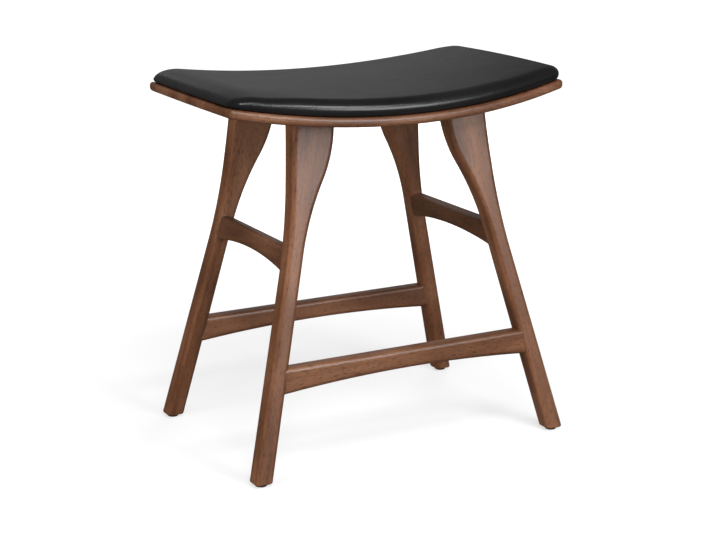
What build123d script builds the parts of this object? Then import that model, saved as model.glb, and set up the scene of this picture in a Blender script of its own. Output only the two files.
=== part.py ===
from build123d import *
import math
import os

os.makedirs("parts", exist_ok=True)

# All lengths are in millimetres, X along the seat, Y across it, Z up from the floor.

# Saddle board
seat_half_length = 238.5
seat_middle_half_depth = 161.5
seat_side_bow = 27.5
seat_end_bow = 2.5
seat_corner_radius = 6.0
seat_thickness = 12.0
seat_tip_height = 472.9
saddle_dip = 23.9
seat_top_round = 4.2
seat_under_round = 5.4

# Legs: slopes are sideways travel per unit of height
glide_thickness = 4.0
foot_inset_x = 22.5
foot_inset_y = 11.5
leg_width = 24.5
leg_depth = 26.0
splay_x = 0.2525
splay_x_inner = 0.2446
splay_y = 0.1445
knee_start_height = 251.0
knee_end_height = 363.0
upper_slope = 0.1
flare_start_height = 278.0
flare_middle_height = 368.0
flare_slope = 0.565
flare_top_slope = 0.02
flare_end_height = 440.0
shoulder_height = 372.0
shoulder_outer_slope = 0.06
shoulder_inner_slope = 0.20
leg_edge_round = 6.5
foot_edge_round = 1.5

# Stretchers
long_stretcher_depth = 22.0
side_stretcher_depth = 18.8
stretcher_edge_round = 5.5
long_stretcher_top = 142.8
long_stretcher_middle_height = 25.2
long_stretcher_end_height = 33.4
long_stretcher_arch_inset = 40.0
side_stretcher_top = 287.7
side_stretcher_middle_height = 24.2
side_stretcher_end_height = 32.8
side_stretcher_arch_inset = 51.0
tenon_thickness = 10.0
tenon_height = 20.0
tenon_length = 16.0
tenon_edge_round = 2.0
tenon_root = 6.0

# Pad on the board
pad_inset = 4.0
pad_corner_radius = 19.0
pad_middle_level = 23.3
pad_dip = 22.0
pad_crown = 2.8
flat_share = 0.9
pad_end_fall_length = 30.0
pad_end_fall_radius = 50.0
pad_core_depth = 40.0
pad_roll_radius = 11.0
pad_tuck_radius = 4.0
leather_thickness = 1.2
leather_flap_width = 20.0
base_thickness = 6.0
base_inset = 1.2
base_edge_round = 3.2

# Fastenings
dowel_radius = 4.0
dowel_in_board = 8.0
dowel_in_leg = 24.0
dowel_half_spacing = 17.0
dowel_chamfer = 1.0
leg_screw_length = 45.0
leg_screw_radius = 2.1
leg_screw_head_radius = 4.2
leg_screw_head_height = 2.6
leg_screw_point = 5.0
leg_screw_sink = 0.4
screw_recess_depth = 1.6
screw_recess_length = 4.4
screw_recess_width = 0.9
pad_screw_inset_x = 66.5
pad_screw_inset_y = 78.0
pad_screw_length = 20.0
pad_screw_radius = 2.5
pad_screw_head_radius = 4.7
pad_screw_head_height = 3.2
pad_screw_head_round = 1.4
washer_radius = 7.5
washer_thickness = 1.0
nut_flange_radius = 8.5
nut_flange_thickness = 1.2
nut_barrel_radius = 3.4
nut_barrel_length = 5.2
nut_prong_radius = 7.4
nut_prong_width = 1.4
nut_prong_thickness = 0.8
nut_prong_length = 3.6
nut_prong_count = 3
staple_width = 10.0
staple_leg = 4.6
staple_wire = 0.7
staple_inset = 12.5
staples_along_side = 9
staples_along_end = 6
staple_corner_gap = 42.5

# Glides
glide_radius = 7.5
glide_round = 1.0
nail_radius = 1.0
nail_head_radius = 3.2
nail_head_thickness = 1.2
nail_length = 18.0
nail_point = 2.5
nail_sink = 0.8

# Fits
joint_gap = 0.1
hole_gap = 0.15
end_gap = 0.5
soft_gap = 0.3
overrun = 40.0

# Derived levels and centres
seat_end_half_depth = seat_middle_half_depth - seat_side_bow
foot_centre_x = seat_half_length - foot_inset_x
foot_centre_y = seat_middle_half_depth - foot_inset_y
pad_screw_x = seat_half_length - pad_screw_inset_x
pad_screw_y = seat_end_half_depth - pad_screw_inset_y
staple_side_reach = seat_half_length - staple_corner_gap
staple_end_reach = seat_end_half_depth - staple_corner_gap
saddle_radius = (seat_half_length**2 + saddle_dip**2) / (2 * saddle_dip)
saddle_centre = seat_tip_height - saddle_dip + saddle_radius
saddle_axis = Axis((0, 0, saddle_centre), (0, 1, 0))
base_level = 2 * soft_gap + leather_thickness
foam_level = base_level + base_thickness + soft_gap
foot_level = glide_thickness + joint_gap
knee_travel = (splay_x + upper_slope) / 2 * (knee_end_height - knee_start_height)
flare_travel = (splay_x_inner + flare_slope) / 2 * (flare_middle_height - flare_start_height)
head_travel = (flare_slope + flare_top_slope) / 2 * (flare_end_height - flare_middle_height)
head_outer_x = foot_centre_x + leg_width / 2 - splay_x * knee_start_height - knee_travel
head_outer_x = head_outer_x - upper_slope * (flare_end_height - knee_end_height)
head_inner_x = foot_centre_x - leg_width / 2 - splay_x_inner * flare_start_height
head_inner_x = head_inner_x - flare_travel - head_travel
head_x = (head_outer_x + head_inner_x) / 2
head_y = foot_centre_y - splay_y * (flare_end_height - dowel_in_leg / 2)


def saddle_height(x, level):
    # Height of the surface that runs parallel to the board's top, level above it.
    return saddle_centre - math.sqrt((saddle_radius - level) ** 2 - x**2)


def saddle_arc(level, reach):
    ends = saddle_height(reach, level)
    return ThreePointArc((-reach, ends), (0, saddle_height(0, level)), (reach, ends))


def saddle_slab(low, high):
    # Everything between two surfaces parallel to the board's top.
    reach = seat_half_length + overrun
    upper = saddle_arc(high, reach)
    lower = saddle_arc(low, reach)
    left = Line(upper @ 0, lower @ 0)
    right = Line(upper @ 1, lower @ 1)
    profile = make_face(Curve() + [upper, lower, left, right])
    return extrude(Plane.XZ * profile, seat_middle_half_depth + overrun, both=True)


def on_saddle(shape, x):
    # Swings a shape made at the middle of the saddle to its place along the curve.
    angle = math.degrees(math.asin(x / saddle_radius))
    return shape.rotate(saddle_axis, -angle)


def plan_prism(inset, corner):
    # Four bowed sides with rounded corners, as seen from above, made as a tall prism.
    length = seat_half_length - inset
    ends = seat_end_half_depth - inset
    middle = seat_middle_half_depth - inset
    straight = length - seat_end_bow
    front = ThreePointArc((-straight, -ends), (0, -middle), (straight, -ends))
    back = ThreePointArc((-straight, ends), (0, middle), (straight, ends))
    left = ThreePointArc((-straight, -ends), (-length, 0), (-straight, ends))
    right = ThreePointArc((straight, -ends), (length, 0), (straight, ends))
    outline = make_face(Curve() + [front, back, left, right])
    outline = fillet(outline.vertices(), corner)
    return extrude(outline, seat_tip_height + overrun + overrun)


def edges_at_level(solid, level, reach):
    # Edges whose middle lies on the saddle surface of the given level.
    found = []
    for edge in solid.edges():
        middle = edge @ 0.5
        distance = math.hypot(middle.X, saddle_centre - middle.Z)
        if abs(saddle_radius - distance - level) < reach:
            found.append(edge)
    return found


def board_blank():
    board = saddle_slab(-seat_thickness, 0) & plan_prism(0, seat_corner_radius)
    board = fillet(edges_at_level(board, 0, joint_gap), seat_top_round)
    return fillet(edges_at_level(board, -seat_thickness, joint_gap), seat_under_round)


def slanted_arc(start, slope_start, slope_end, height):
    # Arc up from start that turns from one slope to another; slopes lean towards zero.
    first = math.atan(slope_start)
    last = math.atan(slope_end)
    half = (first + last) / 2
    radius = height / (math.sin(last) - math.sin(first))
    middle_side = radius * (math.cos(half) - math.cos(first))
    middle_up = radius * (math.sin(half) - math.sin(first))
    end_side = radius * (math.cos(last) - math.cos(first))
    middle = (start[0] + middle_side, start[1] + middle_up)
    end = (start[0] + end_side, start[1] + height)
    return ThreePointArc(start, middle, end)


def leg_side_profile():
    # Seen from the front: straight splayed shank, then the flare towards the middle.
    low = -overrun
    foot_out = foot_centre_x + leg_width / 2
    foot_in = foot_centre_x - leg_width / 2
    out_knee = (foot_out - splay_x * knee_start_height, knee_start_height)
    in_knee = (foot_in - splay_x_inner * flare_start_height, flare_start_height)
    out_low = Line((foot_out - splay_x * low, low), out_knee)
    knee = slanted_arc(out_knee, splay_x, upper_slope, knee_end_height - knee_start_height)
    top = seat_tip_height + overrun
    rise = top - knee_end_height
    out_top = Line(knee @ 1, ((knee @ 1).X - upper_slope * rise, top))
    in_low = Line((foot_in - splay_x_inner * low, low), in_knee)
    flare_rise = flare_middle_height - flare_start_height
    flare = slanted_arc(in_knee, splay_x_inner, flare_slope, flare_rise)
    flare_end = ((flare @ 1).X, flare_middle_height)
    shoulder_rise = flare_end_height - flare_middle_height
    shoulder = slanted_arc(flare_end, flare_slope, flare_top_slope, shoulder_rise)
    in_top = Line(shoulder @ 1, ((shoulder @ 1).X, top))
    across_top = Line(out_top @ 1, in_top @ 1)
    across_foot = Line(out_low @ 0, in_low @ 0)
    sides = [out_low, knee, out_top, across_top, in_top, shoulder, flare, in_low, across_foot]
    return make_face(Curve() + sides)


def leg_end_profile():
    # Seen from the side: an even slanted bar that swells a little under the board.
    low = -overrun
    top = seat_tip_height + overrun
    outer = foot_centre_y + leg_depth / 2
    inner = foot_centre_y - leg_depth / 2
    out_start = (outer - splay_y * shoulder_height, shoulder_height)
    in_start = (inner - splay_y * shoulder_height, shoulder_height)
    rise = flare_end_height - shoulder_height
    out_low = Line((outer - splay_y * low, low), out_start)
    in_low = Line((inner - splay_y * low, low), in_start)
    out_arc = slanted_arc(out_start, splay_y, shoulder_outer_slope, rise)
    in_arc = slanted_arc(in_start, splay_y, shoulder_inner_slope, rise)
    last = top - flare_end_height
    out_top = Line(out_arc @ 1, ((out_arc @ 1).X - shoulder_outer_slope * last, top))
    in_top = Line(in_arc @ 1, ((in_arc @ 1).X - shoulder_inner_slope * last, top))
    across_top = Line(out_top @ 1, in_top @ 1)
    across_foot = Line(out_low @ 0, in_low @ 0)
    sides = [out_low, out_arc, out_top, across_top, in_top, in_arc, in_low, across_foot]
    return make_face(Curve() + sides)


def leg_blank():
    # The back right leg before its joints are cut, with its long edges rounded.
    side = extrude(Plane.XZ * leg_side_profile(), -(foot_centre_y + leg_depth + overrun))
    end = extrude(Plane.YZ * leg_end_profile(), foot_centre_x + leg_width + overrun)
    blank = side & end
    long_edges = []
    for edge in blank.edges():
        direction = edge % 0.5
        if abs(direction.Z) > splay_x + splay_y:
            long_edges.append(edge)
    return fillet(long_edges, leg_edge_round)


def bottom_edges(solid, height):
    found = []
    for edge in solid.edges():
        low = edge.bounding_box()
        if abs(low.max.Z - height) < joint_gap and abs(low.min.Z - height) < joint_gap:
            found.append(edge)
    return found


def trimmed_leg(blank):
    # The foot is cut level and the head is scribed to the board's curved underside.
    reach = foot_centre_x + leg_width + overrun
    floor_cut = Box(2 * reach, 2 * reach, foot_level + overrun + overrun)
    floor_cut = Pos(0, 0, (foot_level - overrun - overrun) / 2) * floor_cut
    leg = blank - floor_cut
    leg = leg - saddle_slab(-seat_thickness - joint_gap, seat_tip_height)
    return fillet(bottom_edges(leg, foot_level), foot_edge_round)


def leg_centre_y(height):
    return foot_centre_y - splay_y * height


def leg_centre_x(height):
    return foot_centre_x - (splay_x + splay_x_inner) / 2 * height


def arched_bar(top, middle_height, end_height, half_span, reach):
    # Side view of a stretcher: straight top, arched underside, level past the arch's ends.
    arch_low = top - end_height
    arch_top = top - middle_height
    arch = ThreePointArc((-half_span, arch_low), (0, arch_top), (half_span, arch_low))
    left_low = Line((-reach, arch_low), (-half_span, arch_low))
    right_low = Line((half_span, arch_low), (reach, arch_low))
    left = Line((-reach, arch_low), (-reach, top))
    right = Line((reach, arch_low), (reach, top))
    across = Line((-reach, top), (reach, top))
    return make_face(Curve() + [arch, left_low, right_low, left, right, across])


def rounded_bar(profile, plane, depth):
    # Extrudes the side view to the bar's depth and rounds its long edges.
    bar = extrude(plane * profile, depth / 2, both=True)
    long_edges = []
    for edge in bar.edges():
        direction = edge % 0.5
        along = abs(direction.dot(plane.x_dir))
        if along > splay_x:
            long_edges.append(edge)
    return fillet(long_edges, stretcher_edge_round)


def middle_piece(shape):
    # The scribing cuts leave stubs beyond the legs; only the bar between them stays.
    return max(shape.solids(), key=lambda solid: solid.volume)


def tenon_block(grow):
    # One tenon along X, from its root inside the bar to its end in the leg.
    length = tenon_root + tenon_length + grow
    height = tenon_height + 2 * grow
    thickness = tenon_thickness + 2 * grow
    block = Box(length, thickness, height, align=(Align.MIN, Align.CENTER, Align.CENTER))
    block = fillet(block.edges().filter_by(Axis.X), tenon_edge_round)
    return Pos(-tenon_root, 0, 0) * block


def leaning(shape, height):
    # The side frames lean inwards with their legs, so their bars lean with them.
    pivot = Axis((leg_centre_x(height), 0, height), (0, 1, 0))
    lean = math.degrees(math.atan((splay_x + splay_x_inner) / 2))
    return shape.rotate(pivot, -lean)


def long_tenon(grow):
    height = long_stretcher_top - long_stretcher_end_height / 2
    inner = leg_centre_x(height) - leg_width / 2
    return Pos(inner, leg_centre_y(height), height) * tenon_block(grow)


def side_tenon(grow):
    height = side_stretcher_top - side_stretcher_end_height / 2
    inner = leg_centre_y(height) - leg_depth / 2
    turned = Rot(0, 0, 90) * tenon_block(grow)
    return leaning(Pos(leg_centre_x(height), inner, height) * turned, height)


def long_stretcher(leg_blanks):
    height = long_stretcher_top - long_stretcher_end_height / 2
    profile = arched_bar(
        long_stretcher_top,
        long_stretcher_middle_height,
        long_stretcher_end_height,
        foot_centre_x - long_stretcher_arch_inset,
        foot_centre_x,
    )
    bar = rounded_bar(profile, Plane.XZ, long_stretcher_depth)
    bar = Pos(0, leg_centre_y(height), 0) * bar
    bar = middle_piece(bar - leg_blanks)
    tenon = long_tenon(0)
    return bar + tenon + mirror(tenon, Plane.YZ)


def side_stretcher(leg_blanks):
    height = side_stretcher_top - side_stretcher_end_height / 2
    profile = arched_bar(
        side_stretcher_top,
        side_stretcher_middle_height,
        side_stretcher_end_height,
        foot_centre_y - side_stretcher_arch_inset,
        foot_centre_y,
    )
    bar = rounded_bar(profile, Plane.YZ, side_stretcher_depth)
    bar = Pos(leg_centre_x(height), 0, 0) * bar
    bar = leaning(bar, height)
    bar = middle_piece(bar - leg_blanks)
    tenon = side_tenon(0)
    return bar + tenon + mirror(tenon, Plane.XZ)


def crown_fall(y):
    # The pad's top bows down from its middle line towards the long sides.
    reach = seat_middle_half_depth - pad_inset
    radius = (reach**2 + pad_crown**2) / (2 * pad_crown)
    return radius - math.sqrt(radius**2 - y**2)


def pad_section(grow):
    # Cross section of the pad's core at the middle of the saddle, in the YZ plane.
    reach = seat_middle_half_depth + overrun / 2
    top = saddle_height(0, pad_middle_level + grow)
    side = top - crown_fall(reach)
    low = top - pad_core_depth
    crown = ThreePointArc((-reach, side), (0, top), (reach, side))
    left = Line((-reach, low), (-reach, side))
    right = Line((reach, low), (reach, side))
    across = Line((-reach, low), (reach, low))
    return Plane.YZ * make_face(Curve() + [crown, left, right, across])


def pad_core(grow):
    # The section follows the saddle, then bends down over each end of the pad.
    middle = saddle_height(0, pad_middle_level)
    swing = (seat_half_length**2 + pad_dip**2) / (2 * pad_dip)
    axis = Axis((0, 0, middle + swing), (0, 1, 0))
    bend_x = seat_half_length - pad_inset - pad_end_fall_length
    half_angle = math.degrees(math.asin(bend_x / swing))
    section = pad_section(grow)
    body = revolve(section.rotate(axis, half_angle), axis, -2 * half_angle)
    centre_x = bend_x + pad_end_fall_radius * bend_x / swing
    centre_drop = math.sqrt((swing + pad_end_fall_radius) ** 2 - centre_x**2)
    end_axis = Axis((centre_x, 0, middle + swing - centre_drop), (0, 1, 0))
    fall_share = (pad_end_fall_length + overrun / 4) / pad_end_fall_radius
    fall_angle = math.degrees(math.asin(fall_share))
    end = revolve(section.rotate(axis, -half_angle), end_axis, fall_angle)
    return body + end + mirror(end, Plane.YZ)


def rim_edges(body, grow):
    # The upper rim of the pad: high, lying flat, and not one of the lines across its top.
    end_x = seat_half_length - pad_inset + grow
    rim = []
    for edge in body.edges():
        middle = edge @ 0.5
        direction = edge % 0.5
        level = saddle_radius - math.hypot(middle.X, saddle_centre - middle.Z)
        is_high = level - base_level > pad_tuck_radius
        lies_flat = abs(direction.Z) < flat_share
        crosses_top = abs(middle.Y) < joint_gap and abs(middle.X) < end_x - joint_gap
        if is_high and lies_flat and not crosses_top:
            rim.append(edge)
    return rim


def pad_form(grow):
    # Crowned pad shape with rolled upper edge and sides drawn in below.
    body = pad_core(grow) & plan_prism(pad_inset - grow, pad_corner_radius + grow)
    body = body & saddle_slab(base_level - grow, seat_tip_height)
    body = fillet(rim_edges(body, grow), pad_roll_radius + grow)
    low_edges = edges_at_level(body, base_level - grow, joint_gap)
    return fillet(low_edges, pad_tuck_radius + grow)


def pad_base_blank():
    # Moulded ply that carries the pad's saddle curve.
    base = saddle_slab(base_level, base_level + base_thickness)
    base = base & plan_prism(pad_inset + base_inset, pad_corner_radius - base_inset)
    return fillet(edges_at_level(base, base_level, joint_gap), base_edge_round)


def pad_foam():
    return pad_form(0) & saddle_slab(foam_level, seat_tip_height)


def pad_cover_blank():
    # Leather shell round foam and ply, with its turned-under flap left below.
    outer = pad_form(soft_gap + leather_thickness)
    inner = pad_form(soft_gap)
    shell = outer - inner
    inside = plan_prism(pad_inset + leather_flap_width, pad_corner_radius)
    opening = inside & saddle_slab(-overrun, base_level)
    return shell - opening


def staple_profile(grow):
    # U seen from the side: crown below, two legs up; grown on all sides for its slot.
    outer = staple_width / 2 + grow
    inner = staple_width / 2 - staple_wire - grow
    low = saddle_height(0, soft_gap + end_gap / 4) - grow
    crown_top = saddle_height(0, soft_gap + end_gap / 4 + staple_wire) + grow
    tip = low + grow + staple_leg + staple_wire + grow
    points = [
        (-outer, low),
        (outer, low),
        (outer, tip),
        (inner, tip),
        (inner, crown_top),
        (-inner, crown_top),
        (-inner, tip),
        (-outer, tip),
    ]
    return make_face(Polyline(*points, close=True))


def staple(grow):
    return extrude(Plane.XZ * staple_profile(grow), staple_wire / 2 + grow, both=True)


def staple_side_y(x):
    # Line of the staples along a long side, parallel to the pad's bowed edge.
    length = seat_half_length
    bow = seat_middle_half_depth - seat_end_half_depth
    radius = (length**2 + bow**2) / (2 * bow)
    fall = radius - math.sqrt(radius**2 - x**2)
    return seat_middle_half_depth - pad_inset - staple_inset - fall


def staple_ring(grow):
    ring = []
    for index in range(staples_along_side):
        x = staple_side_reach * (2 * index / (staples_along_side - 1) - 1)
        for side in (-1, 1):
            placed = Pos(0, side * staple_side_y(x), 0) * staple(grow)
            ring.append(on_saddle(placed, x))
    end_x = seat_half_length - pad_inset - staple_inset
    for index in range(staples_along_end):
        y = staple_end_reach * (2 * index / (staples_along_end - 1) - 1)
        for side in (-1, 1):
            placed = Pos(0, y, 0) * (Rot(0, 0, 90) * staple(grow))
            ring.append(on_saddle(placed, side * end_x))
    return ring


def turned(points, height):
    # Solid of revolution round the vertical at the middle, from (radius, height) points.
    face = make_face(Polyline(*points, close=True))
    return Pos(0, 0, height) * revolve(Plane.XZ * face, Axis.Z)


def dowel(grow):
    radius = dowel_radius + grow
    length_up = dowel_in_board + (end_gap if grow else 0)
    length_down = dowel_in_leg + (end_gap if grow else 0)
    pin = Cylinder(radius, length_up + length_down)
    if not grow:
        pin = chamfer(pin.edges(), dowel_chamfer)
    return Pos(0, 0, (length_up - length_down) / 2) * pin


def dowel_pair(grow):
    under = saddle_height(0, -seat_thickness - joint_gap / 2)
    pair = []
    for side in (-1, 1):
        pin = Pos(side * dowel_half_spacing, head_y, under) * dowel(grow)
        pair.append(on_saddle(pin, head_x))
    return pair


def leg_screw(grow):
    # Countersunk screw, head up, driven through the board into the leg.
    head = leg_screw_head_radius + grow
    shank = leg_screw_radius + grow
    neck = -leg_screw_head_height
    tip = -leg_screw_length
    if grow:
        points = [(0, leg_screw_sink + grow), (head, leg_screw_sink + grow), (head, 0)]
        points = points + [(shank, neck), (shank, tip - end_gap), (0, tip - end_gap)]
    else:
        points = [(0, 0), (head, 0), (shank, neck), (shank, tip + leg_screw_point), (0, tip)]
    screw = turned(points, 0)
    if not grow:
        bar = Box(screw_recess_length, screw_recess_width, 2 * screw_recess_depth)
        screw = screw - bar - Rot(0, 0, 90) * bar
    seat = saddle_height(0, -leg_screw_sink)
    return on_saddle(Pos(0, head_y, seat) * screw, head_x)


def pad_screw():
    # Pan head screw, head down, from under the board up into its nut in the ply.
    under = saddle_height(0, -seat_thickness - washer_thickness - 2 * joint_gap)
    length = pad_screw_length
    radius = pad_screw_radius
    head = pad_screw_head_radius
    low = -pad_screw_head_height
    points = [(0, length), (radius, length), (radius, 0), (head, 0), (head, low), (0, low)]
    screw = turned(points, 0)
    low_edge = screw.edges().sort_by(Axis.Z)[0]
    screw = fillet(low_edge, pad_screw_head_round)
    bar = Box(screw_recess_length, screw_recess_width, 2 * screw_recess_depth)
    bar = Pos(0, 0, low) * bar
    screw = screw - bar - Rot(0, 0, 90) * bar
    return on_saddle(Pos(0, pad_screw_y, under) * screw, pad_screw_x)


def pad_screw_hole():
    under = saddle_height(0, -seat_thickness)
    drill = Cylinder(pad_screw_radius + end_gap, 4 * seat_thickness)
    return on_saddle(Pos(0, pad_screw_y, under) * drill, pad_screw_x)


def washer():
    under = saddle_height(0, -seat_thickness - washer_thickness - joint_gap)
    inner = pad_screw_radius + end_gap / 2
    ring = Cylinder(washer_radius, washer_thickness) - Cylinder(inner, washer_thickness)
    ring = Pos(0, pad_screw_y, under + washer_thickness / 2) * ring
    return on_saddle(ring, pad_screw_x)


def tee_nut(grow):
    # Flanged nut let into the top of the ply, with prongs that bite into the wood.
    top = saddle_height(0, base_level + base_thickness)
    flange = nut_flange_radius + grow
    barrel = nut_barrel_radius + grow
    low = -base_thickness - overrun if grow else -nut_barrel_length
    shelf = -nut_flange_thickness - grow
    points = [(0, grow), (flange, grow), (flange, shelf)]
    points = points + [(barrel, shelf), (barrel, low), (0, low)]
    nut = turned(points, 0)
    prong_top = -nut_flange_thickness / 2
    prong_length = nut_prong_length + nut_flange_thickness / 2 + grow
    prong = Box(nut_prong_thickness + 2 * grow, nut_prong_width + 2 * grow, prong_length)
    prong = Pos(nut_prong_radius, 0, prong_top - prong_length / 2) * prong
    for index in range(nut_prong_count):
        nut = nut + Rot(0, 0, 360 * index / nut_prong_count) * prong
    if not grow:
        nut = nut - Cylinder(pad_screw_radius + joint_gap, 4 * nut_barrel_length)
    return on_saddle(Pos(0, pad_screw_y, top - joint_gap) * nut, pad_screw_x)


def glide():
    # Round floor glide with a sunk seat for its nail.
    seat = nail_head_thickness + nail_sink
    hole = nail_radius + hole_gap
    sunk = nail_head_radius + hole_gap
    points = [(hole, glide_thickness), (glide_radius, glide_thickness), (glide_radius, 0)]
    points = points + [(sunk, 0), (sunk, seat), (hole, seat)]
    body = turned(points, 0)
    lowest = body.edges().filter_by(GeomType.CIRCLE).group_by(Axis.Z)[0]
    body = fillet(lowest.sort_by(SortBy.RADIUS)[-1], glide_round)
    return Pos(leg_centre_x(foot_level), leg_centre_y(foot_level), 0) * body


def glide_nail(grow):
    seat = nail_sink + nail_head_thickness
    shank = nail_radius + grow
    head = nail_head_radius
    tip = nail_length + nail_sink
    if grow:
        points = [(0, 0), (shank, 0), (shank, tip + end_gap), (0, tip + end_gap)]
    else:
        points = [(0, nail_sink), (head, nail_sink), (head, seat - joint_gap)]
        points = points + [(shank, seat - joint_gap), (shank, tip - nail_point), (0, tip)]
    nail = turned(points, 0)
    return Pos(leg_centre_x(foot_level), leg_centre_y(foot_level), 0) * nail


def four_of(shape):
    # The stool is the same on both sides of its two middle planes.
    pair = [shape, mirror(shape, Plane.YZ)]
    return pair + [mirror(one, Plane.XZ) for one in pair]


def save(shapes, name):
    solids = []
    for shape in shapes:
        solids.extend(shape.solids())
    result = solids[0] if len(solids) == 1 else Compound(children=solids)
    result.label = name
    export_step(result, "parts/" + name + ".step")


def seat_board():
    board = board_blank()
    tools = four_of(leg_screw(hole_gap)) + four_of(pad_screw_hole())
    for pin in dowel_pair(hole_gap):
        tools = tools + four_of(pin)
    return board - tools


def leg(blank):
    cut = trimmed_leg(blank)
    tools = dowel_pair(hole_gap) + [leg_screw(hole_gap), glide_nail(hole_gap)]
    return cut - [long_tenon(joint_gap), side_tenon(joint_gap)] - tools


def pad_base():
    return pad_base_blank() - (four_of(tee_nut(hole_gap)) + staple_ring(joint_gap))


def pad_cover():
    return pad_cover_blank() - staple_ring(joint_gap)


def main():
    blank = leg_blank()
    blanks = four_of(blank)
    save([seat_board()], "seat_board")

    back_right = leg(blank)
    save([back_right], "leg_back_right")
    save([mirror(back_right, Plane.YZ)], "leg_back_left")
    front_right = mirror(back_right, Plane.XZ)
    save([front_right], "leg_front_right")
    save([mirror(front_right, Plane.YZ)], "leg_front_left")

    long_bar = long_stretcher(blanks)
    save([long_bar], "stretcher_back")
    save([mirror(long_bar, Plane.XZ)], "stretcher_front")
    side_bar = side_stretcher(blanks)
    save([side_bar], "stretcher_right")
    save([mirror(side_bar, Plane.YZ)], "stretcher_left")

    save([pad_base()], "pad_base")
    save([pad_foam()], "pad_foam")
    save([pad_cover()], "pad_cover")
    save(staple_ring(0), "pad_staples")
    save(four_of(tee_nut(0)), "pad_nuts")
    save(four_of(pad_screw()), "pad_screws")
    save(four_of(washer()), "pad_screw_washers")

    pins = dowel_pair(0)
    left_pins = [mirror(pin, Plane.YZ) for pin in pins]
    save(pins, "dowels_back_right")
    save(left_pins, "dowels_back_left")
    save([mirror(pin, Plane.XZ) for pin in pins], "dowels_front_right")
    save([mirror(pin, Plane.XZ) for pin in left_pins], "dowels_front_left")
    save(four_of(leg_screw(0)), "leg_screws")

    foot = glide()
    save([foot], "glide_back_right")
    save([mirror(foot, Plane.YZ)], "glide_back_left")
    front_foot = mirror(foot, Plane.XZ)
    save([front_foot], "glide_front_right")
    save([mirror(front_foot, Plane.YZ)], "glide_front_left")
    save(four_of(glide_nail(0)), "glide_nails")


main()
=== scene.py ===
import math

import bmesh
import bpy
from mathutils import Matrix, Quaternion, Vector


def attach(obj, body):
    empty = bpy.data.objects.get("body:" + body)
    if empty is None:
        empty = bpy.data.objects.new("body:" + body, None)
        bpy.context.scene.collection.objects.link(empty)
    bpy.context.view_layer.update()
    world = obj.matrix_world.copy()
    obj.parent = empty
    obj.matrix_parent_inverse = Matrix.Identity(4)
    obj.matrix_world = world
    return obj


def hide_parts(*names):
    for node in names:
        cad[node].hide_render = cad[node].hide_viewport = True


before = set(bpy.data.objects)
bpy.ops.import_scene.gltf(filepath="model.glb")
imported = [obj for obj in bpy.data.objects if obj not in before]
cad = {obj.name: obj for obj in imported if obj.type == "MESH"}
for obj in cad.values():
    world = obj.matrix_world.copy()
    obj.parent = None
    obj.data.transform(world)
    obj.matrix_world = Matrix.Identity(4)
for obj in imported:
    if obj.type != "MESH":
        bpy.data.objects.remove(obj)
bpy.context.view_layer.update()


# Legs
# Four legs sawn from solid hardwood, their long edges rounded over and their heads flared and
# scribed to the board. Stained a reddish walnut brown under a thin satin lacquer, so the broad
# faces show a milky sheen, the grain runs up each leg and its fibres show as fine streaks.

def tone(code):
    # A colour as it is written on a screen, turned to the linear values that shaders take.
    levels = [int(code[k:k + 2], 16) / 255 for k in (1, 3, 5)]
    linear = [v / 12.92 if v <= 0.04045 else ((v + 0.055) / 1.055) ** 2.4 for v in levels]
    return (*linear, 1.0)


def wire(tree, node, values):
    # Gives a node's inputs their values, by name or number, and links those that are sockets.
    for name, value in values.items():
        if isinstance(value, bpy.types.NodeSocket):
            tree.links.new(value, node.inputs[name])
        else:
            node.inputs[name].default_value = value


def add(tree, kind, values, out=0, stops=None, **settings):
    # Adds one node with its settings, links and colour stops, and gives back one of its outputs.
    node = tree.nodes.new("ShaderNode" + kind)
    for name, value in settings.items():
        setattr(node, name, value)
    wire(tree, node, values)
    if stops:
        band = node.color_ramp.elements
        while len(band) < len(stops):
            band.new(0.5)
        for element, (place, code) in zip(band, stops.items()):
            element.position = place
            element.color = tone(code)
    return node.outputs[out]


def finish_of(name):
    # An empty material: its node tree, its surface shader and the place on the piece in metres.
    made = bpy.data.materials.new(name)
    made.use_nodes = True
    tree = made.node_tree
    tree.nodes.clear()
    shader = tree.nodes.new("ShaderNodeBsdfPrincipled")
    out = tree.nodes.new("ShaderNodeOutputMaterial")
    wire(tree, out, {"Surface": shader.outputs["BSDF"]})
    place = add(tree, "TexCoord", {}, out="Object")
    return made, tree, shader, place


def pattern(tree, place, widths, detail, rough):
    # Noise whose features measure widths, in metres, along the three axes.
    scale = [1 / width for width in widths]
    fitted = add(tree, "Mapping", {"Vector": place, "Scale": scale})
    values = {"Vector": fitted, "Scale": 1.0, "Detail": detail, "Roughness": rough}
    return add(tree, "TexNoise", values, out="Fac")


FIBRE = (0.0012, 0.0012, 0.007)     # real pores are 0.2 mm wide, drawn as wide as a pixel
STREAK = (0.008, 0.008, 0.17)       # growth rings cut lengthwise lie about 8 mm apart
CLOUD = (0.04, 0.04, 0.15)          # the stain takes unevenly over a few centimetres
STAIN = ("#50301B", "#623D26", "#704B33")
SATIN = 0.42


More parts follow.
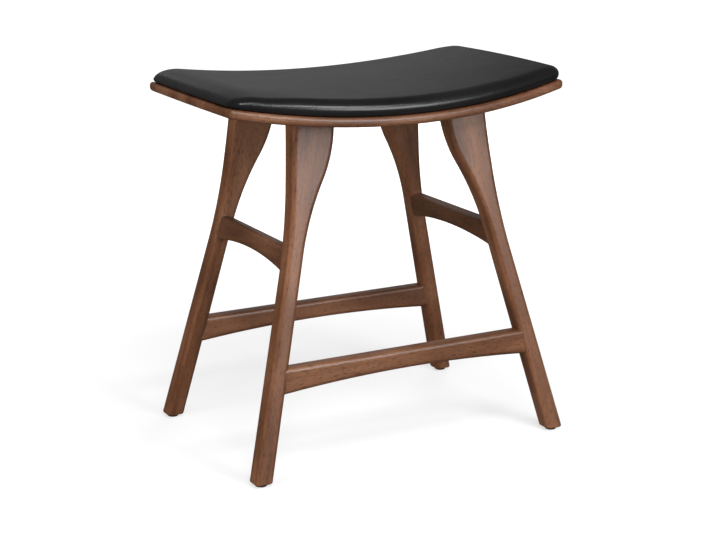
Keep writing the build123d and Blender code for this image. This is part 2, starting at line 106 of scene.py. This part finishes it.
def grained_wood(name, along, shift, stain=STAIN, roughness=SATIN):
    # Hardwood whose grain runs along the given direction; shift picks another part of the plank.
    made, tree, shader, place = finish_of(name)
    turn = Vector(along).normalized().rotation_difference(Vector((0, 0, 1))).to_euler()
    plank = add(tree, "Mapping", {"Vector": place, "Rotation": turn, "Location": shift})
    cloud = pattern(tree, plank, CLOUD, 2.0, 0.5)
    streak = pattern(tree, plank, STREAK, 3.0, 0.55)
    fibre = pattern(tree, plank, FIBRE, 2.0, 0.6)
    body = add(tree, "ValToRGB", {"Fac": cloud}, stops={0.36: stain[0], 0.5: stain[1], 0.64: stain[2]})
    streaks = add(tree, "ValToRGB", {"Fac": streak}, stops={0.3: "#CFC4BC", 0.5: "#FFFFFF"})
    fibres = add(tree, "ValToRGB", {"Fac": fibre}, stops={0.34: "#8A786A", 0.47: "#FFFFFF"})
    for strength, marks in ((0.8, streaks), (0.7, fibres)):
        body = add(tree, "Mix", {0: strength, 6: body, 7: marks}, out=2,
                   data_type="RGBA", blend_type="MULTIPLY")
    rough = add(tree, "MapRange", {
        "Value": streak, "To Min": roughness - 0.02, "To Max": roughness + 0.04})
    relief = add(tree, "Bump", {"Height": fibre, "Strength": 0.25, "Distance": 0.0002})
    wire(tree, shader, {"Base Color": body, "Roughness": rough, "Normal": relief})
    return made


def dress(node, finish):
    # A CAD piece keeps its shape and takes the finish.
    for held in cad[node].material_slots:
        held.material = finish


LEAN_X = 0.2486     # sideways travel of a leg's middle line per unit of height
LEAN_Y = 0.1445
CORNERS = (("back_right", 1, 1), ("back_left", -1, 1), ("front_right", 1, -1), ("front_left", -1, -1))

for corner, side, face in CORNERS:
    grain = (-side * LEAN_X, -face * LEAN_Y, 1)
    plank = (0.31 * side, 0.17 * face, 0.05 * side * face)
    dress("leg_" + corner, grained_wood("stained wood of leg " + corner, grain, plank))


# Stretchers
# Four arched bars of the same stock, tenoned into the legs: two long ones low down and two
# short ones higher up, stained darker as painted shade from the seat. The grain runs along each bar.

# A darker copy of the legs' stain, painted shade from the seat over the short side bars.
SEAT_SHADE_STAIN = ("#462A17", "#573621", "#63422D")

for end, grain, plank, stain in (
    ("front", (1, 0, 0), (0.11, 0.4, 0.2), STAIN),
    ("back", (1, 0, 0), (0.5, 0.1, 0.33), STAIN),
    ("left", (0, 1, 0), (0.27, 0.6, 0.1), SEAT_SHADE_STAIN),
    ("right", (0, 1, 0), (0.7, 0.22, 0.4), SEAT_SHADE_STAIN),
):
    dress("stretcher_" + end, grained_wood("stained wood of stretcher " + end, grain, plank, stain))


# Seat board
# One solid board shaped to a saddle, its upper edge rolled and its lower edge eased. The
# grain runs along the seat. It has the legs' lacquer over a slightly deeper stain.

BOARD_STAIN = ("#4B2D19", "#5D3A25", "#6A4731")
board_wood = grained_wood("stained wood of seat board", (1, 0, 0), (0.9, 0.3, 0.6), BOARD_STAIN)
dress("seat_board", board_wood)


# Dowels and leg screws
# Pale beech dowels, sanded and left bare, and zinc plated countersunk screws hold each leg's
# head under the board. Zinc plating is a soft grey metal with a slightly blotchy shine.

BEECH = ("#C7A57C", "#D2B28A", "#DBBF99")
SANDED = 0.6
ZINC_BLOTCH = 0.004         # patches in zinc plating are a few millimetres wide


def plated_steel(name, colour, roughness):
    made, tree, shader, place = finish_of(name)
    bloom = pattern(tree, place, (ZINC_BLOTCH, ZINC_BLOTCH, ZINC_BLOTCH), 3.0, 0.6)
    rough = add(tree, "MapRange", {
        "Value": bloom, "To Min": roughness - 0.07, "To Max": roughness + 0.1})
    wire(tree, shader, {"Base Color": tone(colour), "Metallic": 1.0, "Roughness": rough})
    return made


beech = grained_wood("bare beech", (0, 0, 1), (0.2, 0.2, 0.2), BEECH, SANDED)
zinc = plated_steel("zinc plated steel", "#B8BBBD", 0.34)
for corner, side, face in CORNERS:
    dress("dowels_" + corner, beech)
dress("leg_screws", zinc)


# Floor glides
# Four moulded polyethylene discs, each nailed up into a foot: dark brown, a little glossy,
# with the faint unevenness of moulded plastic.

RIPPLE = 0.0012             # moulding marks are finer, drawn as wide as a pixel


def moulded_polyethylene():
    made, tree, shader, place = finish_of("dark brown moulded polyethylene")
    ripple = pattern(tree, place, (RIPPLE, RIPPLE, RIPPLE), 2.0, 0.5)
    relief = add(tree, "Bump", {"Height": ripple, "Strength": 0.2, "Distance": 0.0001})
    wire(tree, shader, {"Base Color": tone("#33241B"), "Roughness": 0.45, "Normal": relief})
    return made


glide_plastic = moulded_polyethylene()
for corner, side, face in CORNERS:
    dress("glide_" + corner, glide_plastic)
dress("glide_nails", zinc)


# Pad base
# Moulded birch plywood that carries the pad's saddle curve. Its edge shows the veneers as
# light and dark layers about 1.2 mm thick that follow the curve.

SEAT_HALF_LENGTH = 0.2385
SADDLE_DIP = 0.0239
SEAT_TIP = 0.4729           # height of the board's top at its two ends
SADDLE_RADIUS = (SEAT_HALF_LENGTH ** 2 + SADDLE_DIP ** 2) / (2 * SADDLE_DIP)
SADDLE_CENTRE = SEAT_TIP - SADDLE_DIP + SADDLE_RADIUS
VENEER = 0.0012
PLY_FIGURE = (0.09, 0.003, 0.003)


def birch_plywood():
    # The veneers change with the distance from the line that the saddle curves about.
    made, tree, shader, place = finish_of("sanded birch plywood")
    spoke = add(tree, "VectorMath", {0: place, 1: (1, 0, -1), 2: (0, 0, SADDLE_CENTRE)},
                operation="MULTIPLY_ADD")
    reach = add(tree, "VectorMath", {0: spoke}, out="Value", operation="LENGTH")
    layer = add(tree, "Math", {0: reach, 1: math.pi / VENEER}, operation="MULTIPLY")
    wave = add(tree, "Math", {0: layer}, operation="SINE")
    shade = add(tree, "MapRange", {"Value": wave, "From Min": -1.0})
    veneers = add(tree, "ValToRGB", {"Fac": shade}, stops={0.35: "#B08B5E", 0.6: "#D6B98C"})
    streak = pattern(tree, place, PLY_FIGURE, 3.0, 0.6)
    figure = add(tree, "ValToRGB", {"Fac": streak}, stops={0.3: "#C9B79D", 0.6: "#FFFFFF"})
    birch = add(tree, "Mix", {0: 0.5, 6: veneers, 7: figure}, out=2,
                data_type="RGBA", blend_type="MULTIPLY")
    wire(tree, shader, {"Base Color": birch, "Roughness": 0.62})
    return made


dress("pad_base", birch_plywood())


# Pad
# Foam on the ply base under one piece of black leather, pulled down over a full rolled edge
# and stapled underneath. The foam falls away at both ends, far less at the right one. The
# cover is formed as a closed shell and then blown up against the foam as cloth.

COVER_INSET = 0.0025        # from the board's edge to the leather, along the long sides
END_INSET = {-1: 0.0036, 1: 0.0022}
COVER_CORNER = 0.0205
MIDDLE_HALF_DEPTH = 0.1615
SIDE_BOW = 0.0275
END_BOW = 0.0025
PAD_TOP = 0.4730            # leather over the middle of the saddle, before it swells
PAD_DIP = 0.0220
PAD_CROWN = 0.0018
PAD_RADIUS = (SEAT_HALF_LENGTH ** 2 + PAD_DIP ** 2) / (2 * PAD_DIP)
END_FALL_LENGTH = 0.040
END_FALL = {-1: 0.0125, 1: 0.0040}
CORNER_PULL = 0.0036        # the leather is pulled down hardest at the front left corner
CORNER_SPOT = Vector((-0.196, -0.137))
CORNER_REACH = 0.036
ROLL_WIDTH = 0.0135
ROLL_SHARE = 0.62           # how much of the edge's height the upper roll takes
TUCK_WIDTH = 0.0055
FLAP_WIDTH = 0.020
PAD_CLEARANCE = 0.0003      # from the board's top to the turned-under flap
LEATHER = 0.0012
FOAM_GAP = 0.0016           # leather's thickness and the gap under it
FOAM_FLOOR = 0.1            # the foam's underside reaches this far in from its edge
RIM_STEP = 0.0062
CORNER_STEPS = 16
FLAP_STEPS = 4
TUCK_STEPS = 5
ROLL_STEPS = 8
TOP_STEPS = 20
WELD = 0.0004


def board_top(x):
    return SADDLE_CENTRE - math.sqrt(SADDLE_RADIUS ** 2 - x ** 2)


def pad_top(x, y, sunk):
    # Saddle curve, crowned across, that falls away towards each end and the pulled corner.
    side = 1 if x > 0 else -1
    reach = SEAT_HALF_LENGTH - END_INSET[side] - END_FALL_LENGTH
    past = max(abs(x) - reach, 0) / END_FALL_LENGTH
    fall = END_FALL[side] * past ** 2
    crown = PAD_CROWN * (y / MIDDLE_HALF_DEPTH) ** 2
    away = (Vector((x, y)) - CORNER_SPOT).length / CORNER_REACH
    pulled = CORNER_PULL * math.exp(-away ** 2)
    return PAD_TOP - sunk + PAD_RADIUS - math.sqrt(PAD_RADIUS ** 2 - x ** 2) - fall - crown - pulled


def slid(spot):
    # The pad sits a little to the right on its board, as its uneven end insets say.
    share = (spot.x / SEAT_HALF_LENGTH + 1) / 2
    left = END_INSET[-1] - COVER_INSET
    right = COVER_INSET - END_INSET[1]
    return Vector((spot.x + left + (right - left) * share, spot.y))


def rim_guides(inset):
    # Points of the outline's inner corners and sides, each with the way out from it.
    length = SEAT_HALF_LENGTH - inset - COVER_CORNER
    depth = MIDDLE_HALF_DEPTH - inset - COVER_CORNER
    ends = depth - SIDE_BOW * (length / SEAT_HALF_LENGTH) ** 2
    along = round(2 * length / RIM_STEP)
    across = round(2 * ends / RIM_STEP)
    side_slope = 2 * SIDE_BOW * length / SEAT_HALF_LENGTH ** 2
    end_slope = 2 * END_BOW / ends
    guides = []
    for turn in (1, -1):
        for k in range(1, across):
            y = turn * ends * (2 * k / across - 1)
            bow = END_BOW * (1 - (y / ends) ** 2)
            out = Vector((1, end_slope * y / ends)).normalized() * turn
            guides.append((Vector((turn * (length + bow), y)), Vector((out.x, turn * out.y))))
        first = math.atan(end_slope)
        last = math.pi / 2 - math.atan(side_slope)
        for k in range(CORNER_STEPS + 1):
            angle = first + (last - first) * k / CORNER_STEPS
            out = Vector((math.cos(angle), math.sin(angle))) * turn
            guides.append((Vector((length, ends)) * turn, out))
        for k in range(1, along):
            x = turn * length * (1 - 2 * k / along)
            y = turn * (depth - SIDE_BOW * (x / SEAT_HALF_LENGTH) ** 2)
            out = Vector((2 * SIDE_BOW * x / SEAT_HALF_LENGTH ** 2, turn)).normalized()
            guides.append((Vector((x, y)), out))
        for k in range(CORNER_STEPS + 1):
            angle = last + (first - last) * k / CORNER_STEPS
            out = Vector((-math.cos(angle), math.sin(angle))) * turn
            guides.append((Vector((-length, ends)) * turn, out))
    return guides


def pad_shell(name, sunk, flap):
    # Closed pad form: flat turned-under flap, tuck, rolled edge and crowned top, as quads.
    shape = bmesh.new()
    guides = rim_guides(COVER_INSET + sunk)
    bottom = PAD_CLEARANCE + sunk
    rings = []

    def ring(inset, height):
        made = []
        for point, out in guides:
            spot = slid(point + out * (COVER_CORNER - inset))
            edge = slid(point + out * COVER_CORNER)
            made.append(shape.verts.new((spot.x, spot.y, height(spot, edge))))
        rings.append(made)

    def rim_height(edge):
        return pad_top(edge.x, edge.y, sunk) - board_top(edge.x) - bottom

    for k in range(FLAP_STEPS + 1):
        ring(TUCK_WIDTH + flap * (1 - k / FLAP_STEPS), lambda spot, edge: board_top(spot.x) + bottom)
    for k in range(1, TUCK_STEPS + 1):
        angle = math.pi / 2 * k / TUCK_STEPS
        rise = (1 - ROLL_SHARE) * (1 - math.cos(angle))
        ring(TUCK_WIDTH * (1 - math.sin(angle)),
             lambda spot, edge: board_top(spot.x) + bottom + rise * rim_height(edge))
    for k in range(1, ROLL_STEPS + 1):
        angle = math.pi / 2 * k / ROLL_STEPS
        drop = ROLL_SHARE * (1 - math.sin(angle))
        ring(ROLL_WIDTH * (1 - math.cos(angle)),
             lambda spot, edge: pad_top(spot.x, spot.y, sunk) - drop * rim_height(edge))
    rim = [v.co.copy() for v in rings[-1]]
    ridge = SEAT_HALF_LENGTH - MIDDLE_HALF_DEPTH
    for k in range(1, TOP_STEPS + 1):
        share = k / TOP_STEPS
        made = []
        for spot in rim:
            goal = max(-ridge, min(ridge, spot.x))
            x = spot.x + (goal - spot.x) * share
            y = spot.y * (1 - share)
            made.append(shape.verts.new((x, y, pad_top(x, y, sunk))))
        rings.append(made)
    for low, high in zip(rings, rings[1:]):
        count = len(low)
        for k in range(count):
            shape.faces.new((low[k], low[(k + 1) % count], high[(k + 1) % count], high[k]))
    bmesh.ops.remove_doubles(shape, verts=shape.verts, dist=WELD)
    bmesh.ops.recalc_face_normals(shape, faces=shape.faces)
    mesh = bpy.data.meshes.new(name)
    shape.to_mesh(mesh)
    shape.free()
    piece = bpy.data.objects.new(name, mesh)
    bpy.context.scene.collection.objects.link(piece)
    for polygon in mesh.polygons:
        polygon.use_smooth = True
    return piece


SWELL = 0.0016              # the furthest that the air pressure moves the leather
HELD_HEIGHT = 0.006         # the leather's lower edge is held up to here above the board
EASE_HEIGHT = 0.010         # and comes free over this height
PRESSURE = 4
CLOTH_MASS = 0.3
CLOTH_STIFFNESS = 0.5
CLOTH_STEPS = 6
LAST_FRAME = 20


def swell(piece):
    # Air pressure as cloth: the leather crowns between its held lower edges, by up to SWELL.
    start = [v.co.copy() for v in piece.data.vertices]
    held = piece.vertex_groups.new(name="held")
    for v in piece.data.vertices:
        free = min(max((v.co.z - board_top(v.co.x) - HELD_HEIGHT) / EASE_HEIGHT, 0), 1)
        held.add([v.index], 1 - free, "REPLACE")
    cloth = piece.modifiers.new("pressure", "CLOTH")
    cloth.settings.quality = CLOTH_STEPS
    cloth.settings.mass = CLOTH_MASS
    cloth.settings.bending_stiffness = CLOTH_STIFFNESS
    cloth.settings.use_pressure = True
    cloth.settings.uniform_pressure_force = PRESSURE
    cloth.settings.vertex_group_mass = "held"
    cloth.settings.effector_weights.gravity = 0
    scene = bpy.context.scene
    for moment in range(1, LAST_FRAME + 1):
        scene.frame_set(moment)
    blown = piece.evaluated_get(bpy.context.evaluated_depsgraph_get()).data
    moves = [after.co - before for after, before in zip(blown.vertices, start)]
    share = min(1, SWELL / max(move.length for move in moves))
    piece.modifiers.remove(cloth)
    piece.vertex_groups.clear()
    for v, before, move in zip(piece.data.vertices, start, moves):
        v.co = before + move * share
    scene.frame_set(1)


LOOSE = 0.985               # upward share of the surface's direction where the leather lies loose
STRETCHED = 0.865           # and where it is fully stretched


def mark_stretch(piece):
    # Where the leather is pulled over the rolled edge its grain is stretched smooth.
    mark = piece.data.attributes.new("stretch", "FLOAT", "POINT")
    for v in piece.data.vertices:
        lean = (LOOSE - v.normal.z) / (LOOSE - STRETCHED)
        mark.data[v.index].value = min(max(lean, 0), 1)


PEBBLE = 0.0014                     # real grain is 0.6 mm apart, drawn a pixel coarse
CREASE = (0.018, 0.006, 0.012)      # soft hides crease across the seat every 6 mm or so
HAZE = (0.09, 0.03, 0.05)


def nappa_leather():
    # Near black and finely pebbled, with a soft haze where it lies loose and a smoother,
    # narrower shine where it is stretched over the edge.
    made, tree, shader, place = finish_of("black nappa leather")
    pebble = add(tree, "TexVoronoi", {"Vector": place, "Scale": 1 / PEBBLE}, out="Distance")
    crease = pattern(tree, place, CREASE, 3.0, 0.55)
    haze = pattern(tree, place, HAZE, 2.0, 0.5)
    pull = add(tree, "Attribute", {}, out="Fac", attribute_name="stretch")
    hide = add(tree, "ValToRGB", {"Fac": haze}, stops={0.3: "#0B0B0C", 0.7: "#121213"})
    mirror = add(tree, "MapRange", {"Value": pull, "To Min": 0.4, "To Max": 0.27})
    worn = add(tree, "MapRange", {"Value": crease, "To Min": 0.42, "To Max": 0.5})
    smoothed = add(tree, "MapRange", {"Value": pull, "To Min": 0.0, "To Max": 0.2})
    rough = add(tree, "Math", {0: worn, 1: smoothed}, operation="SUBTRACT")
    grain = add(tree, "Bump", {"Height": pebble, "Strength": 0.1, "Distance": 0.0002})
    folds = add(tree, "Bump", {
        "Height": crease, "Strength": 0.2, "Distance": 0.0008, "Normal": grain})
    wire(tree, shader, {
        "Base Color": hide, "Specular IOR Level": mirror, "Roughness": rough, "Normal": folds})
    return made


FOAM_CELL = 0.0012


def cut_foam():
    # Pale cream, with open cells about 1.2 mm across that scatter all light.
    made, tree, shader, place = finish_of("open cell seat foam")
    cells = add(tree, "TexVoronoi", {"Vector": place, "Scale": 1 / FOAM_CELL}, out="Distance")
    cream = add(tree, "ValToRGB", {"Fac": cells}, stops={0.1: "#C9BD95", 0.5: "#E6DDBE"})
    pores = add(tree, "Bump", {"Height": cells, "Strength": 0.5, "Distance": 0.0006})
    wire(tree, shader, {"Base Color": cream, "Roughness": 0.9, "Normal": pores})
    return made


cover = pad_shell("pad_leather", 0.0, FLAP_WIDTH)
foam = pad_shell("pad_foam_block", FOAM_GAP, FOAM_FLOOR)
cover.data.materials.append(nappa_leather())
foam.data.materials.append(cut_foam())

swell(cover)
mark_stretch(cover)

thick = cover.modifiers.new("leather thickness", "SOLIDIFY")
thick.thickness = LEATHER
thick.offset = -1
fine = cover.modifiers.new("fine surface", "SUBSURF")
fine.levels = 1
fine.render_levels = 1

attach(cover, "root")
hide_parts("pad_cover")
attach(foam, "root")
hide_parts("pad_foam")


# Pad fastenings
# Galvanised wire staples, dull grey, hold the leather's turned edge under the ply. Four zinc
# plated machine screws with washers come up through the board into tee nuts let into the ply.

dress("pad_staples", plated_steel("galvanised wire", "#A9ABAD", 0.4))
dress("pad_nuts", zinc)
dress("pad_screws", zinc)
dress("pad_screw_washers", zinc)


# Studio
# A plain white floor and background, broad soft lamps with three fills that leave no highlight,
# and the photograph's camera. Reflections see a dimmer room and floor than the camera does,
# since the photograph's white was added behind a stool that stood in a darker studio.

FLOOR_REACH = 6
SQUARE = ((-1, -1), (1, -1), (1, 1), (-1, 1))
FLOOR_SEEN = "#9A9A9A"
FLOOR_BOUNCED = "#5E5E5E"
NEAR = 0.25                 # round the feet the paper glows less, a painted shade that also lets the cast shadow show
FAR = 1.2
PAINTED_SHADE_GLOW = 0.61
FAR_GLOW = 1.0
ROOM_LIGHT = 0.28
ROOM_MIRRORED = 0.16


def white_paper():
    # Matt white paper that takes a soft shadow round the stool and fades to plain white; round the
    # stool it also glows less, which is painted shade.
    made, tree, shader, place = finish_of("white paper")
    seen = add(tree, "LightPath", {}, out="Is Camera Ray")
    colour = add(tree, "Mix", {0: seen, 6: tone(FLOOR_BOUNCED), 7: tone(FLOOR_SEEN)}, out=2,
                 data_type="RGBA")
    away = add(tree, "VectorMath", {0: place}, out="Value", operation="LENGTH")
    # Painted shade: the glow is lowest round the stool and rises to plain white further out.
    paled = add(tree, "MapRange", {
        "Value": away, "From Min": NEAR, "From Max": FAR, "To Min": PAINTED_SHADE_GLOW, "To Max": FAR_GLOW})
    glow = add(tree, "Math", {0: seen, 1: paled}, operation="MULTIPLY")
    wire(tree, shader, {
        "Base Color": colour, "Roughness": 0.9, "Specular IOR Level": 0.0,
        "Emission Color": tone("#FFFFFF"), "Emission Strength": glow})
    return made


paper_corners = [(FLOOR_REACH * x, FLOOR_REACH * y, 0) for x, y in SQUARE]
floor_mesh = bpy.data.meshes.new("floor")
floor_mesh.from_pydata(paper_corners, [], [(0, 1, 2, 3)])
floor_mesh.materials.append(white_paper())
floor = bpy.data.objects.new("floor", floor_mesh)
bpy.context.scene.collection.objects.link(floor)

world = bpy.data.worlds.new("studio")
bpy.context.scene.world = world
world.use_nodes = True
room = world.node_tree
room.nodes.clear()
seen = room.nodes.new("ShaderNodeLightPath").outputs
direct = add(room, "Math", {0: seen["Is Camera Ray"], 1: seen["Is Transmission Ray"]},
             operation="MAXIMUM")
strength = add(room, "MapRange", {
    "Value": seen["Is Glossy Ray"], "To Min": ROOM_LIGHT, "To Max": ROOM_MIRRORED})
dim = add(room, "Background", {"Color": tone("#FFFFFF"), "Strength": strength})
white = add(room, "Background", {"Color": tone("#FFFFFF"), "Strength": 1.0})
shown = add(room, "MixShader", {0: direct, 1: dim, 2: white})
wire(room, room.nodes.new("ShaderNodeOutputWorld"), {"Surface": shown})


def lamp(name, place, aim, size, power, mirrored=True):
    # A soft lamp; a fill that isn't mirrored lights surfaces without a highlight of its own.
    data = bpy.data.lights.new(name, "AREA")
    data.shape = "RECTANGLE"
    data.size = size[0]
    data.size_y = size[1]
    data.energy = power
    made = bpy.data.objects.new(name, data)
    made.location = place
    made.rotation_euler = (Vector(aim) - Vector(place)).to_track_quat("-Z", "Y").to_euler()
    made.visible_glossy = mirrored
    bpy.context.scene.collection.objects.link(made)


lamp("front softbox", (0.6, -1.6, 0.7), (0, 0, 0.4), (0.7, 0.5), 17)
lamp("strip softbox", (0.3, -1.3, 1.18), (0, 0, 0.45), (0.5, 0.12), 9.3)
lamp("left fill", (-2.2, -0.6, 0.5), (0, 0, 0.3), (1.6, 1.0), 50, mirrored=False)
lamp("front fill", (-0.9, -2.0, 0.9), (0, 0, 0.3), (1.0, 0.8), 8, mirrored=False)
lamp("top softbox", (-0.4, -1.6, 2.2), (0, 0, 0.3), (1.0, 0.8), 36)
lamp("back softbox", (0.62, 1.85, 1.0), (0, 0, 0.45), (1.2, 0.5), 1.15)
lamp("back fill", (1.6, 1.9, 0.6), (0, 0, 0.25), (1.2, 0.8), 30, mirrored=False)

EYE = Vector((-1.0170, -1.9788, 0.7991))
TARGET = Vector((-0.00397, -0.01096, 0.2179))
ROLL = math.radians(-0.637)
SENSOR_WIDTH = 36.0         # millimetres, as the focal length
FOCAL_LENGTH = 85.99
PHOTO_WIDTH = 716           # pixels; the fitted camera's middle lies half a pixel off

lens = bpy.data.cameras.new("camera")
lens.sensor_width = SENSOR_WIDTH
lens.lens = FOCAL_LENGTH
lens.shift_x = -0.5 / PHOTO_WIDTH
lens.shift_y = 0.5 / PHOTO_WIDTH
camera = bpy.data.objects.new("camera", lens)
camera.location = EYE
turned = (TARGET - EYE).to_track_quat("-Z", "Y") @ Quaternion((0, 0, 1), ROLL)
camera.rotation_euler = turned.to_euler()
bpy.context.scene.collection.objects.link(camera)
bpy.context.scene.camera = camera

bpy.context.scene.view_settings.view_transform = "Standard"
